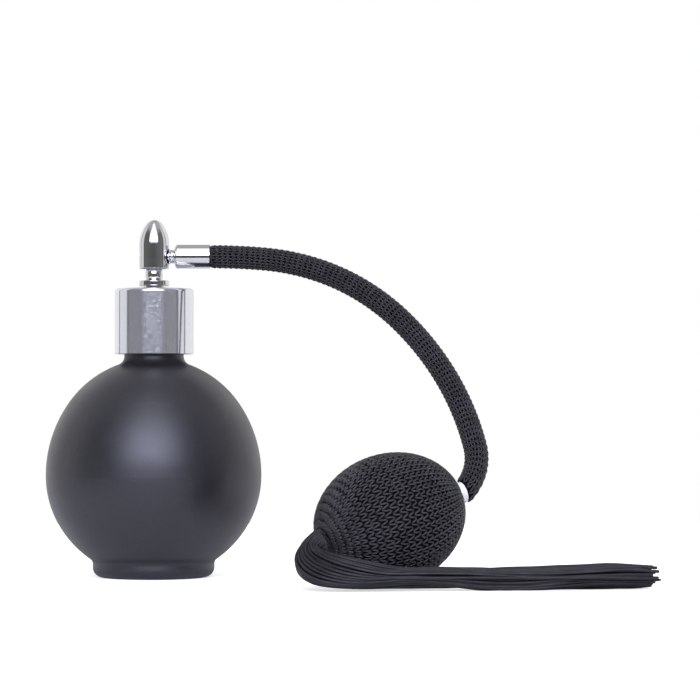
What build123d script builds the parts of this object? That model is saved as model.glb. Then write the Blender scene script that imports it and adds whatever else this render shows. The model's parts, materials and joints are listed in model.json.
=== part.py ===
from build123d import *
import os
from math import acos, cos, degrees, radians, sin, sqrt

# Bulb atomiser perfume bottle: a round glass bottle with a screw collar, a swivelling spray head,
# a covered rubber hose, a netted squeeze bulb and a tassel.
# Millimetres and degrees. The origin is the centre of the bottle's foot, +Z is up, the hose leaves
# the head towards +X, and the bulb lies on the table in front of the bottle, towards -Y.

# ---- glass bottle ----
BODY_RADIUS = 34.0
BODY_WIDEST_Z = 32.1
SIDE_ARC_RADIUS = 40.0  # the glass rises from its widest level on this arc
SIDE_ARC_TURN = 35.0
SHOULDER_ARC_RADIUS = 33.0  # and closes in to the neck on this one
BELLY_DROP = 32.6  # from the widest level to where the belly's ellipse would close
FOOT_RADIUS = 19.2
FOOT_EDGE_RADIUS = 3.2
FOOT_WAIST_RADIUS = 1.8  # where the foot meets the belly
PUNT_RADIUS = 13.0  # the shallow hollow under the foot
PUNT_HEIGHT = 1.0
NECK_RADIUS = 9.4
NECK_TOP_Z = 70.9
NECK_FILLET = 2.8
GLASS_WALL = 3.0
GLASS_FLOOR = 4.5
BORE_RADIUS = 5.5

# ---- neck finish and its screw thread ----
COLLAR_BOTTOM_Z = 70.4
FINISH_RADIUS = 7.75
RIM_Z = 86.0
RIM_EDGE_RADIUS = 0.5
THREAD_PITCH = 3.175  # eight threads to the inch
THREAD_TURNS = 1.25
THREAD_HEIGHT = 1.0
THREAD_ROOT_HALF = 0.75
THREAD_CREST_HALF = 0.35
THREAD_BASE_Z = 76.5
THREAD_SINK = 0.15  # how far a ridge is sunk into its wall

# ---- collar ----
COLLAR_RADIUS = 12.4
COLLAR_TOP_Z = 91.0
COLLAR_SKIN = 0.6
COLLAR_EDGE_RADIUS = 1.0
INSERT_BORE = 9.05
INSERT_INSET = 1.2  # how far its lower edge sits inside the shell
INSERT_TOP_WALL = 1.5
SLIP = 0.05  # clearance between pieces that slide or turn on each other
TOUCH_GAP = 0.02  # and between pieces that rest against each other
AIR_GAP = 0.2  # and between pieces that are kept apart

# ---- spray core and the plain parts above the collar ----
GASKET_HEIGHT = 1.2
FLANGE_RADIUS = 8.6
FLANGE_HEIGHT = 1.5
PLUG_RADIUS = 5.3
PLUG_BOTTOM_Z = 79.0
HUB_RADIUS = 3.6
POST_RADIUS = 2.2
SPIGOT_RADIUS = 1.8
SPIGOT_TOP_Z = 99.9
SNAP_Z = 99.1
SNAP_HEIGHT = 0.25
LIQUID_BORE = 0.7
DIP_TUBE_RADIUS = 1.5
DIP_TUBE_BORE = 1.0
DIP_TUBE_BOTTOM_Z = 7.5
DIP_SOCKET_DEPTH = 6.0
DISC_RADIUS = 4.75
DISC_BOTTOM_Z = 91.9
DISC_TOP_Z = 93.6
DISC_EDGE_RADIUS = 0.3
STEM_END_RADIUS = 2.45
STEM_MIDDLE_RADIUS = 2.8

# ---- spray head ----
HEAD_BOTTOM_Z = 97.4
HEAD_RADIUS = 4.75
HEAD_SHOULDER_Z = 104.9
HEAD_EDGE = 0.2
OGIVE_RADIUS = 11.0
TIP_RADIUS = 3.2
HEAD_BORE = 3.9
HEAD_BORE_TOP_Z = 106.5
CORE_BOTTOM_Z = 97.9
SIDE_Z = 101.2  # level of the air inlet and of the spray orifice
AIR_BORE = 0.9
ORIFICE_RADIUS = 1.3
ORIFICE_HOLE = 0.2
ORIFICE_DEPTH = 1.8
ORIFICE_INSET = 0.1
ORIFICE_CHAMFER = 0.5
INLET_PIPE_RADIUS = 1.6
INLET_PIPE_DEPTH = 1.4  # how far the pipe reaches into the head's core
INLET_NECK_RADIUS = 2.5
INLET_WAIST_RADIUS = 2.1
INLET_BARB_RADIUS = 1.9
INLET_BARB_COUNT = 3
INLET_BARB_PITCH = 2.2
INLET_BARB_LENGTH = 1.76
INLET_BARB_SETBACK = 2.0  # from the ferrule's near end to the first barb
INLET_END_X = 15.5
FERRULE_START_X = 6.7
FERRULE_END_X = 17.6
FERRULE_RADIUS = 3.75
FERRULE_WALL = 0.3
FERRULE_EDGE = 0.7

# ---- hose: equal lengths, each an arc with its own turn, in one leaning plane ----
HOSE_LENGTH = 16.75
HOSE_TURNS = (5.5, 14.5, 15, 13.5, 10, 10, 10, 52)
HOSE_LEAN = 28.5  # the plane's lean from upright towards the front
HOSE_GAP = 1.1  # room between two lengths for their bend
HOSE_END_GAP = 1.6  # clears the connector's flange, which is not square to the hose
HOSE_START_X = 8.0
TUBE_BORE = 2.0
TUBE_RADIUS = 2.7
BRAID_BORE = 2.75
BRAID_RADIUS = 3.35

# ---- squeeze bulb ----
BULB_YAW = 24.5  # the bulb's axis, from -X towards the front
BULB_DIP = 17.75  # and below level
BULB_RADIUS = 19.6
BULB_HALF_LENGTH = 23.6
NET_THICKNESS = 0.65
RUBBER_WALL = 1.6
CONNECTOR_FLANGE = 2.0
CONNECTOR_RADIUS = 3.3
CONNECTOR_BODY_RADIUS = 2.9
CONNECTOR_BODY_END = 9.0
CONNECTOR_BARB_RADIUS = 1.5
CONNECTOR_BARB_LENGTH = 3.5
VALVE_PORT = 0.7
OUTLET_BALL_RADIUS = 1.0
OUTLET_CHAMBER_START = 3.0
OUTLET_CHAMBER_END = 6.2
OUTLET_CHAMBER_RADIUS = 1.3
SEAT_RADIUS = 2.0
INTAKE_RADIUS = 3.4
INTAKE_START = 42.0
INTAKE_END = 50.8
INTAKE_CHAMBER_START = 45.0
INTAKE_CHAMBER_END = 48.7
INTAKE_CHAMBER_RADIUS = 1.6
INTAKE_BALL_RADIUS = 1.3

# ---- tassel ----
TASSEL_HEAD_RADIUS = 4.5
TASSEL_HEAD_LENGTH = 1.3
TASSEL_NECK_RADIUS = 3.4
TASSEL_NECK_DIP = 0.6  # how steeply the neck leaves the bulb, below the bulb's own dip
TASSEL_HALF_HEIGHT = 3.6
TASSEL_HALF_WIDTH = 5.4
TASSEL_GAP = 1.5
TASSEL_LENGTH = 92.0
TASSEL_YAW = 9.0  # the skirt's run from +X towards the back
TASSEL_START = (57.5, -71.8)


def thread_ridge(root_radius, crest_radius, base_z):
    """One helical ridge that runs THREAD_TURNS round, from root_radius to crest_radius."""
    height = crest_radius - root_radius
    with BuildPart(mode=Mode.PRIVATE) as ridge:
        with BuildLine():
            rise = THREAD_PITCH * THREAD_TURNS
            path = Helix(THREAD_PITCH, rise, root_radius, center=(0, 0, base_z))
        with BuildSketch(Plane(origin=path @ 0, x_dir=(1, 0, 0), z_dir=path % 0)):
            Polygon(
                (0, -THREAD_ROOT_HALF),
                (height, -THREAD_CREST_HALF),
                (height, THREAD_CREST_HALF),
                (0, THREAD_ROOT_HALF),
                align=None,
            )
        sweep(path=path, is_frenet=True)
    return ridge.part


# ================= bottle =================


def shoulder_turn(end_radius, inset):
    """How far the shoulder's arc turns, at this inset into the glass, until it is end_radius from Z."""
    side_centre_x = BODY_RADIUS - SIDE_ARC_RADIUS
    centre_x = side_centre_x + (SIDE_ARC_RADIUS - SHOULDER_ARC_RADIUS) * cos(radians(SIDE_ARC_TURN))
    return degrees(acos((end_radius - centre_x) / (SHOULDER_ARC_RADIUS - inset))) - SIDE_ARC_TURN


with BuildPart() as glass_bottle:
    with BuildSketch(Plane.XZ) as outside:
        with BuildLine():
            foot_angle = degrees(acos(FOOT_RADIUS / BODY_RADIUS))
            belly = EllipticalCenterArc(
                (0, BODY_WIDEST_Z), BODY_RADIUS, BELLY_DROP, -foot_angle, arc_size=foot_angle
            )
            side = JernArc((BODY_RADIUS, BODY_WIDEST_Z), (0, 1), SIDE_ARC_RADIUS, SIDE_ARC_TURN)
            shoulder = JernArc(side @ 1, side % 1, SHOULDER_ARC_RADIUS, shoulder_turn(NECK_RADIUS, 0))
            Polyline(
                shoulder @ 1,
                (NECK_RADIUS, NECK_TOP_Z),
                (FINISH_RADIUS, NECK_TOP_Z + NECK_RADIUS - FINISH_RADIUS),
                (FINISH_RADIUS, RIM_Z),
                (0, RIM_Z),
                (0, PUNT_HEIGHT),
                (PUNT_RADIUS, 0),
                (FOOT_RADIUS, 0),
                belly @ 0,
            )
        make_face()
        fillet(outside.vertices().sort_by_distance(shoulder @ 1)[0], NECK_FILLET)
        fillet(outside.vertices().sort_by_distance((FOOT_RADIUS, 0))[0], FOOT_EDGE_RADIUS)
        fillet(outside.vertices().sort_by_distance(belly @ 0)[0], FOOT_WAIST_RADIUS)
        fillet(outside.vertices().sort_by_distance((FINISH_RADIUS, RIM_Z))[0], RIM_EDGE_RADIUS)
    revolve(axis=Axis.Z)
    with BuildSketch(Plane.XZ) as inside:
        with BuildLine():
            inner_start = (BODY_RADIUS - GLASS_WALL, BODY_WIDEST_Z)
            EllipticalCenterArc(
                (0, BODY_WIDEST_Z), BODY_RADIUS - GLASS_WALL, BELLY_DROP - GLASS_FLOOR, -90, arc_size=90
            )
            inner_side = JernArc(inner_start, (0, 1), SIDE_ARC_RADIUS - GLASS_WALL, SIDE_ARC_TURN)
            inner_shoulder = JernArc(
                inner_side @ 1,
                inner_side % 1,
                SHOULDER_ARC_RADIUS - GLASS_WALL,
                shoulder_turn(BORE_RADIUS, GLASS_WALL),
            )
            Polyline(
                inner_shoulder @ 1,
                (BORE_RADIUS, RIM_Z),
                (0, RIM_Z),
                (0, BODY_WIDEST_Z - BELLY_DROP + GLASS_FLOOR),
            )
        make_face()
    revolve(axis=Axis.Z, mode=Mode.SUBTRACT)
    add(thread_ridge(FINISH_RADIUS - THREAD_SINK, FINISH_RADIUS + THREAD_HEIGHT, THREAD_BASE_Z))

# ================= spray core, seated in the neck =================

flange_bottom_z = RIM_Z + GASKET_HEIGHT + SLIP
flange_top_z = flange_bottom_z + FLANGE_HEIGHT

with BuildPart() as neck_gasket:
    with BuildSketch(Plane.XY.offset(RIM_Z + TOUCH_GAP)):
        Circle(FLANGE_RADIUS)
        Circle(BORE_RADIUS + SLIP, mode=Mode.SUBTRACT)
    extrude(amount=GASKET_HEIGHT)

with BuildPart() as stem_base:
    socket_top_z = PLUG_BOTTOM_Z + DIP_SOCKET_DEPTH
    with BuildSketch(Plane.XZ):
        Polygon(
            (LIQUID_BORE, socket_top_z),
            (DIP_TUBE_RADIUS + SLIP, socket_top_z),
            (DIP_TUBE_RADIUS + SLIP, PLUG_BOTTOM_Z),
            (PLUG_RADIUS, PLUG_BOTTOM_Z),
            (PLUG_RADIUS, flange_bottom_z),
            (FLANGE_RADIUS, flange_bottom_z),
            (FLANGE_RADIUS, flange_top_z),
            (POST_RADIUS, flange_top_z),
            (POST_RADIUS, DISC_TOP_Z),
            (SPIGOT_RADIUS, DISC_TOP_Z),
            (SPIGOT_RADIUS, SNAP_Z - SNAP_HEIGHT),
            (SPIGOT_RADIUS + SNAP_HEIGHT, SNAP_Z),
            (SPIGOT_RADIUS, SNAP_Z + SNAP_HEIGHT),
            (SPIGOT_RADIUS, SPIGOT_TOP_Z),
            (LIQUID_BORE, SPIGOT_TOP_Z),
            align=None,
        )
    revolve(axis=Axis.Z)

with BuildPart() as dip_tube:
    tube_top_z = PLUG_BOTTOM_Z + DIP_SOCKET_DEPTH - SLIP
    with BuildSketch(Plane.XY.offset(DIP_TUBE_BOTTOM_Z)):
        Circle(DIP_TUBE_RADIUS)
        Circle(DIP_TUBE_BORE, mode=Mode.SUBTRACT)
    extrude(amount=tube_top_z - DIP_TUBE_BOTTOM_Z)
    # the foot is cut on a slant, so that it can't seal against the glass floor
    with BuildSketch(Plane.XZ):
        Polygon(
            (-DIP_TUBE_RADIUS, DIP_TUBE_BOTTOM_Z),
            (DIP_TUBE_RADIUS, DIP_TUBE_BOTTOM_Z),
            (DIP_TUBE_RADIUS, DIP_TUBE_BOTTOM_Z + 2 * DIP_TUBE_RADIUS),
            align=None,
        )
    extrude(amount=DIP_TUBE_RADIUS, both=True, mode=Mode.SUBTRACT)

with BuildPart() as stem_disc:
    with BuildSketch(Plane.XZ):
        Polygon(
            (POST_RADIUS + SLIP, flange_top_z + SLIP),
            (HUB_RADIUS, flange_top_z + SLIP),
            (HUB_RADIUS, DISC_BOTTOM_Z),
            (DISC_RADIUS, DISC_BOTTOM_Z),
            (DISC_RADIUS, DISC_TOP_Z),
            (POST_RADIUS + SLIP, DISC_TOP_Z),
            align=None,
        )
    revolve(axis=Axis.Z)
    disc_rims = stem_disc.edges().filter_by(GeomType.CIRCLE).sort_by(SortBy.RADIUS)[-2:]
    fillet(disc_rims, DISC_EDGE_RADIUS)

with BuildPart() as stem_sleeve:
    stem_bottom_z = DISC_TOP_Z + TOUCH_GAP
    stem_top_z = HEAD_BOTTOM_Z - SLIP
    with BuildSketch(Plane.XZ):
        with BuildLine():
            ThreePointArc(
                (STEM_END_RADIUS, stem_bottom_z),
                (STEM_MIDDLE_RADIUS, (stem_bottom_z + stem_top_z) / 2),
                (STEM_END_RADIUS, stem_top_z),
            )
            Polyline(
                (STEM_END_RADIUS, stem_top_z),
                (SPIGOT_RADIUS + SLIP, stem_top_z),
                (SPIGOT_RADIUS + SLIP, stem_bottom_z),
                (STEM_END_RADIUS, stem_bottom_z),
            )
        make_face()
    revolve(axis=Axis.Z)

# ================= collar, turning on the core =================

with BuildPart() as collar_shell:
    with BuildSketch(Plane.XZ) as shell_profile:
        Polygon(
            (COLLAR_RADIUS - COLLAR_SKIN, COLLAR_BOTTOM_Z),
            (COLLAR_RADIUS, COLLAR_BOTTOM_Z),
            (COLLAR_RADIUS, COLLAR_TOP_Z),
            (HUB_RADIUS + SLIP, COLLAR_TOP_Z),
            (HUB_RADIUS + SLIP, COLLAR_TOP_Z - COLLAR_SKIN),
            (COLLAR_RADIUS - COLLAR_SKIN, COLLAR_TOP_Z - COLLAR_SKIN),
            align=None,
        )
        outer_corner = shell_profile.vertices().sort_by_distance((COLLAR_RADIUS, COLLAR_TOP_Z))[0]
        fillet(outer_corner, COLLAR_EDGE_RADIUS)
        skin_corner = (COLLAR_RADIUS - COLLAR_SKIN, COLLAR_TOP_Z - COLLAR_SKIN)
        inner_corner = shell_profile.vertices().sort_by_distance(skin_corner)[0]
        fillet(inner_corner, COLLAR_EDGE_RADIUS - COLLAR_SKIN)
    revolve(axis=Axis.Z)

with BuildPart() as collar_insert:
    insert_radius = COLLAR_RADIUS - COLLAR_SKIN - TOUCH_GAP
    insert_bottom_z = COLLAR_BOTTOM_Z + INSERT_INSET
    ceiling_z = flange_top_z + SLIP
    with BuildSketch(Plane.XZ) as insert_profile:
        Polygon(
            (INSERT_BORE, insert_bottom_z),
            (insert_radius, insert_bottom_z),
            (insert_radius, ceiling_z + INSERT_TOP_WALL),
            (HUB_RADIUS + SLIP, ceiling_z + INSERT_TOP_WALL),
            (HUB_RADIUS + SLIP, ceiling_z),
            (INSERT_BORE, ceiling_z),
            align=None,
        )
        top_corner = (insert_radius, ceiling_z + INSERT_TOP_WALL)
        fillet(insert_profile.vertices().sort_by_distance(top_corner)[0], COLLAR_EDGE_RADIUS)
    revolve(axis=Axis.Z)
    # its ridge runs half a pitch below the one on the glass
    insert_base_z = THREAD_BASE_Z - THREAD_PITCH / 2
    add(thread_ridge(INSERT_BORE + THREAD_SINK, INSERT_BORE - THREAD_HEIGHT, insert_base_z))

# ================= spray head, swivelling on the stem =================

side_axis = Axis((0, 0, SIDE_Z), (1, 0, 0))

with BuildPart() as nozzle_head:
    # the ogive meets the tip's small arc where the line through both centres leaves it
    ogive_turn = degrees(acos((OGIVE_RADIUS - HEAD_RADIUS) / (OGIVE_RADIUS - TIP_RADIUS)))
    with BuildSketch(Plane.XZ):
        with BuildLine():
            ogive = JernArc((HEAD_RADIUS, HEAD_SHOULDER_Z), (0, 1), OGIVE_RADIUS, ogive_turn)
            tip = JernArc(ogive @ 1, ogive % 1, TIP_RADIUS, 90 - ogive_turn)
            Polyline(
                tip @ 1,
                (0, HEAD_BORE_TOP_Z),
                (HEAD_BORE, HEAD_BORE_TOP_Z),
                (HEAD_BORE, HEAD_BOTTOM_Z),
                (HEAD_RADIUS - HEAD_EDGE, HEAD_BOTTOM_Z),
                (HEAD_RADIUS, HEAD_BOTTOM_Z + HEAD_EDGE),
                ogive @ 0,
            )
        make_face()
    revolve(axis=Axis.Z)
    with BuildSketch(Plane.YZ):
        with Locations((0, SIDE_Z)):
            Circle(INLET_PIPE_RADIUS + SLIP)
    extrude(amount=HEAD_RADIUS, mode=Mode.SUBTRACT)
    with BuildSketch(Plane.YZ):
        with Locations((0, SIDE_Z)):
            Circle(ORIFICE_RADIUS + SLIP)
    extrude(amount=-HEAD_RADIUS, mode=Mode.SUBTRACT)

with BuildPart() as head_core:
    core_radius = HEAD_BORE - SLIP
    pipe_seat_x = core_radius - INLET_PIPE_DEPTH
    orifice_seat_x = HEAD_RADIUS - ORIFICE_INSET - ORIFICE_DEPTH
    with BuildSketch(Plane.XZ):
        Polygon(
            (0, SPIGOT_TOP_Z + AIR_GAP),
            (SPIGOT_RADIUS + SLIP, SPIGOT_TOP_Z + AIR_GAP),
            (SPIGOT_RADIUS + SLIP, SNAP_Z + SNAP_HEIGHT + SLIP),
            (SPIGOT_RADIUS + SNAP_HEIGHT + 2 * SLIP, SNAP_Z),
            (SPIGOT_RADIUS + SLIP, SNAP_Z - SNAP_HEIGHT - SLIP),
            (SPIGOT_RADIUS + SLIP, CORE_BOTTOM_Z),
            (core_radius, CORE_BOTTOM_Z),
            (core_radius, HEAD_BORE_TOP_Z - AIR_GAP),
            (0, HEAD_BORE_TOP_Z - AIR_GAP),
            align=None,
        )
    revolve(axis=Axis.Z)
    # air crosses the head from the hose side to the orifice, over the liquid's jet
    with BuildSketch(Plane.YZ.offset(-core_radius)):
        with Locations((0, SIDE_Z)):
            Circle(AIR_BORE)
    extrude(amount=2 * core_radius, mode=Mode.SUBTRACT)
    with BuildSketch(Plane.YZ.offset(pipe_seat_x)):
        with Locations((0, SIDE_Z)):
            Circle(INLET_PIPE_RADIUS + SLIP)
    extrude(amount=core_radius, mode=Mode.SUBTRACT)
    with BuildSketch(Plane.YZ.offset(-orifice_seat_x + TOUCH_GAP)):
        with Locations((0, SIDE_Z)):
            Circle(ORIFICE_RADIUS + TOUCH_GAP)
    extrude(amount=-core_radius, mode=Mode.SUBTRACT)
    with BuildSketch(Plane.XY.offset(SPIGOT_TOP_Z)):
        Circle(LIQUID_BORE)
    extrude(amount=SIDE_Z - SPIGOT_TOP_Z, mode=Mode.SUBTRACT)

with BuildPart() as orifice_insert:
    with BuildSketch(Plane.YZ.offset(-orifice_seat_x)):
        with Locations((0, SIDE_Z)):
            Circle(ORIFICE_RADIUS)
            Circle(ORIFICE_HOLE, mode=Mode.SUBTRACT)
    extrude(amount=-ORIFICE_DEPTH)
    outer_rim = orifice_insert.edges().group_by(Axis.X)[0].sort_by(SortBy.RADIUS)[0]
    chamfer(outer_rim, ORIFICE_CHAMFER)

with BuildPart() as inlet_barb:
    neck_start_x = HEAD_RADIUS + SLIP
    neck_end_x = FERRULE_START_X - SLIP
    first_barb_x = FERRULE_START_X + INLET_BARB_SETBACK
    with BuildSketch(Plane.XZ) as inlet_profile:
        with BuildLine():
            waist = ThreePointArc(
                (neck_start_x, SIDE_Z + INLET_NECK_RADIUS),
                ((neck_start_x + neck_end_x) / 2, SIDE_Z + INLET_WAIST_RADIUS),
                (neck_end_x, SIDE_Z + INLET_NECK_RADIUS),
            )
            Polyline(
                waist @ 1,
                (neck_end_x, SIDE_Z + AIR_BORE),
                (neck_start_x, SIDE_Z + AIR_BORE),
                waist @ 0,
            )
        make_face()
        with Locations((pipe_seat_x, SIDE_Z + AIR_BORE)):
            Rectangle(
                INLET_END_X - pipe_seat_x, INLET_PIPE_RADIUS - AIR_BORE, align=(Align.MIN, Align.MIN)
            )
        for number in range(INLET_BARB_COUNT):
            barb_x = first_barb_x + number * INLET_BARB_PITCH
            Polygon(
                (barb_x, SIDE_Z + INLET_PIPE_RADIUS - THREAD_SINK),
                (barb_x, SIDE_Z + INLET_BARB_RADIUS),
                (barb_x + INLET_BARB_LENGTH, SIDE_Z + INLET_PIPE_RADIUS - THREAD_SINK),
                align=None,
            )
    revolve(axis=side_axis)

with BuildPart() as hose_ferrule:
    inner = FERRULE_RADIUS - FERRULE_WALL
    with BuildSketch(Plane.XZ) as ferrule_profile:
        Polygon(
            (FERRULE_START_X, SIDE_Z + INLET_PIPE_RADIUS + SLIP),
            (FERRULE_START_X, SIDE_Z + FERRULE_RADIUS),
            (FERRULE_END_X, SIDE_Z + FERRULE_RADIUS),
            (FERRULE_END_X, SIDE_Z + inner),
            (FERRULE_START_X + FERRULE_EDGE, SIDE_Z + inner),
            (FERRULE_START_X + FERRULE_EDGE, SIDE_Z + INLET_PIPE_RADIUS + SLIP),
            align=None,
        )
        near_corner = (FERRULE_START_X, SIDE_Z + FERRULE_RADIUS)
        fillet(ferrule_profile.vertices().sort_by_distance(near_corner)[0], FERRULE_EDGE)
    revolve(axis=side_axis)

# ================= hose =================

hose_normal = Vector(0, cos(radians(HOSE_LEAN)), -sin(radians(HOSE_LEAN)))
hose_plane = Plane(origin=(FERRULE_END_X, 0, SIDE_Z), x_dir=(1, 0, 0), z_dir=hose_normal)

# where each length of hose starts in its plane, and which way it heads there
hose_starts = [(0.0, 0.0, 0.0)]
for turn in HOSE_TURNS:
    x, y, heading = hose_starts[-1]
    radius = HOSE_LENGTH / radians(turn)
    after = heading + radians(turn)
    hose_starts.append((
        x + radius * (sin(after) - sin(heading)),
        y - radius * (cos(after) - cos(heading)),
        after,
    ))


def hose_sleeve(number, inner_radius, outer_radius, first_gap, last_gap):
    """One length of the hose, as a bent sleeve that stops short of its ends by the two gaps."""
    turn = radians(HOSE_TURNS[number])
    radius = HOSE_LENGTH / turn
    x, y, heading = hose_starts[number]
    centre = Vector(x - radius * sin(heading), y + radius * cos(heading))
    first = heading + first_gap / radius
    last = heading + turn - last_gap / radius
    start = centre + Vector(sin(first), -cos(first)) * radius
    with BuildPart(mode=Mode.PRIVATE) as sleeve:
        with BuildLine(hose_plane) as path:
            JernArc((start.X, start.Y), (cos(first), sin(first)), radius, degrees(last - first))
            if number == 0:
                Line((HOSE_START_X - FERRULE_END_X, 0), (0, 0))
        with BuildSketch(Plane(origin=path.wire() @ 0, z_dir=path.wire() % 0)):
            Circle(outer_radius)
            Circle(inner_radius, mode=Mode.SUBTRACT)
        sweep(path=path.wire())
    return sleeve.part


last_length = len(HOSE_TURNS) - 1
hose_pieces = {}
for number in range(len(HOSE_TURNS)):
    first_gap = HOSE_GAP / 2 if number > 0 else 0
    last_gap = HOSE_GAP / 2 if number < last_length else HOSE_END_GAP
    with BuildPart() as hose_tube:
        add(hose_sleeve(number, TUBE_BORE, TUBE_RADIUS, first_gap, last_gap))
    with BuildPart() as hose_braid:
        add(hose_sleeve(number, BRAID_BORE, BRAID_RADIUS, first_gap, last_gap))
    hose_pieces[f"hose_tube_{number + 1}"] = hose_tube
    hose_pieces[f"hose_braid_{number + 1}"] = hose_braid

# ================= squeeze bulb =================
# Along the bulb, distances are counted from the hose's end, where the connector's flange starts.

end_x, end_y, end_heading = hose_starts[-1]
hose_end = hose_plane.from_local_coords(Vector(end_x, end_y, 0))
hose_end_way = hose_plane.from_local_coords(
    Vector(end_x + cos(end_heading), end_y + sin(end_heading), 0)
) - hose_end
bulb_way = Vector(
    -cos(radians(BULB_YAW)) * cos(radians(BULB_DIP)),
    -sin(radians(BULB_YAW)) * cos(radians(BULB_DIP)),
    -sin(radians(BULB_DIP)),
)
bulb_plane = Plane(origin=hose_end, z_dir=bulb_way)
bulb_axis = Axis(hose_end, bulb_way)
# in this plane a profile's first number is the radius and its second the distance along the bulb
bulb_section = Plane(origin=hose_end, x_dir=bulb_plane.x_dir, z_dir=bulb_plane.x_dir.cross(bulb_way))
bulb_middle = CONNECTOR_FLANGE + BULB_HALF_LENGTH


def egg_profile(outside_inset, thickness, front_opening, tail_opening):
    """Half the section of a hollow egg round the bulb's axis, open at both ends."""
    radius = BULB_RADIUS - outside_inset
    half_length = BULB_HALF_LENGTH - outside_inset
    shell = Ellipse(radius, half_length) - Ellipse(radius - thickness, half_length - thickness)
    front = Pos(0, -half_length) * Rectangle(2 * front_opening, 2 * half_length)
    tail = Pos(0, half_length) * Rectangle(2 * tail_opening, 2 * half_length)
    other_half = Pos(-radius, 0) * Rectangle(2 * radius, 4 * half_length)
    return Pos(0, bulb_middle) * (shell - front - tail - other_half)


net_profile = egg_profile(0, NET_THICKNESS, CONNECTOR_RADIUS + SLIP, INTAKE_RADIUS + SLIP)
rubber_inset = NET_THICKNESS + SLIP
rubber_profile = egg_profile(
    rubber_inset, RUBBER_WALL, CONNECTOR_BODY_RADIUS + SLIP, INTAKE_RADIUS + SLIP
)

with BuildPart() as bulb_net:
    with BuildSketch(bulb_section):
        add(net_profile)
    revolve(axis=bulb_axis)

with BuildPart() as squeeze_bulb:
    with BuildSketch(bulb_section):
        add(rubber_profile)
    revolve(axis=bulb_axis)

with BuildPart() as bulb_connector:
    with BuildSketch(bulb_section):
        Polygon(
            (0, 0),
            (CONNECTOR_RADIUS, 0),
            (CONNECTOR_RADIUS, CONNECTOR_FLANGE),
            (CONNECTOR_BODY_RADIUS, CONNECTOR_FLANGE),
            (CONNECTOR_BODY_RADIUS, CONNECTOR_BODY_END),
            (0, CONNECTOR_BODY_END),
            align=None,
        )
    revolve(axis=bulb_axis)
    # the barb points up the hose, so it leans away from the bulb's axis
    barb_root = Plane(origin=hose_end, z_dir=hose_end_way).offset(CONNECTOR_FLANGE / 2)
    barb_reach = CONNECTOR_BARB_LENGTH + CONNECTOR_FLANGE / 2
    with BuildSketch(barb_root):
        Circle(CONNECTOR_BARB_RADIUS)
    extrude(amount=-barb_reach)
    with BuildSketch(barb_root):
        Circle(VALVE_PORT)
    extrude(amount=-barb_reach, mode=Mode.SUBTRACT)
    with BuildSketch(bulb_section):
        Rectangle(VALVE_PORT, CONNECTOR_BODY_END, align=(Align.MIN, Align.MIN))
        with Locations((0, OUTLET_CHAMBER_START)):
            Rectangle(
                OUTLET_CHAMBER_RADIUS,
                OUTLET_CHAMBER_END - OUTLET_CHAMBER_START,
                align=(Align.MIN, Align.MIN),
            )
        with Locations((0, OUTLET_CHAMBER_END)):
            Rectangle(SEAT_RADIUS, CONNECTOR_BODY_END, align=(Align.MIN, Align.MIN))
    revolve(axis=bulb_axis, mode=Mode.SUBTRACT)

with BuildPart() as outlet_valve_seat:
    with BuildSketch(bulb_plane.offset(OUTLET_CHAMBER_END)):
        Circle(SEAT_RADIUS - TOUCH_GAP)
        Circle(VALVE_PORT, mode=Mode.SUBTRACT)
    extrude(amount=CONNECTOR_BODY_END - OUTLET_CHAMBER_END)


def ball_seat_distance(ball_radius):
    """How far a ball's centre sits from the flat edge of its port."""
    return sqrt(ball_radius**2 - VALVE_PORT**2) + TOUCH_GAP


with BuildPart() as outlet_valve_ball:
    outlet_ball_at = hose_end + bulb_way * (
        OUTLET_CHAMBER_END - ball_seat_distance(OUTLET_BALL_RADIUS)
    )
    with Locations(outlet_ball_at):
        Sphere(OUTLET_BALL_RADIUS)

with BuildPart() as intake_valve_body:
    with BuildSketch(bulb_section):
        Polygon(
            (VALVE_PORT, INTAKE_END),
            (INTAKE_RADIUS, INTAKE_END),
            (INTAKE_RADIUS, INTAKE_START),
            (SEAT_RADIUS, INTAKE_START),
            (SEAT_RADIUS, INTAKE_CHAMBER_START),
            (INTAKE_CHAMBER_RADIUS, INTAKE_CHAMBER_START),
            (INTAKE_CHAMBER_RADIUS, INTAKE_CHAMBER_END),
            (VALVE_PORT, INTAKE_CHAMBER_END),
            align=None,
        )
    revolve(axis=bulb_axis)

with BuildPart() as intake_valve_retainer:
    with BuildSketch(bulb_plane.offset(INTAKE_START)):
        Circle(SEAT_RADIUS - TOUCH_GAP)
        Circle(VALVE_PORT, mode=Mode.SUBTRACT)
    extrude(amount=INTAKE_CHAMBER_START - INTAKE_START - TOUCH_GAP)

with BuildPart() as intake_valve_ball:
    intake_ball_at = hose_end + bulb_way * (
        INTAKE_CHAMBER_END - ball_seat_distance(INTAKE_BALL_RADIUS)
    )
    with Locations(intake_ball_at):
        Sphere(INTAKE_BALL_RADIUS)

# ================= tassel =================

tassel_head_start = CONNECTOR_FLANGE + 2 * BULB_HALF_LENGTH
tassel_way = Vector(cos(radians(TASSEL_YAW)), sin(radians(TASSEL_YAW)), 0)

with BuildPart() as tassel_head:
    with BuildSketch(bulb_plane.offset(tassel_head_start)):
        Circle(TASSEL_HEAD_RADIUS)
        Circle(INTAKE_RADIUS + SLIP, mode=Mode.SUBTRACT)
    extrude(amount=TASSEL_HEAD_LENGTH)

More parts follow.
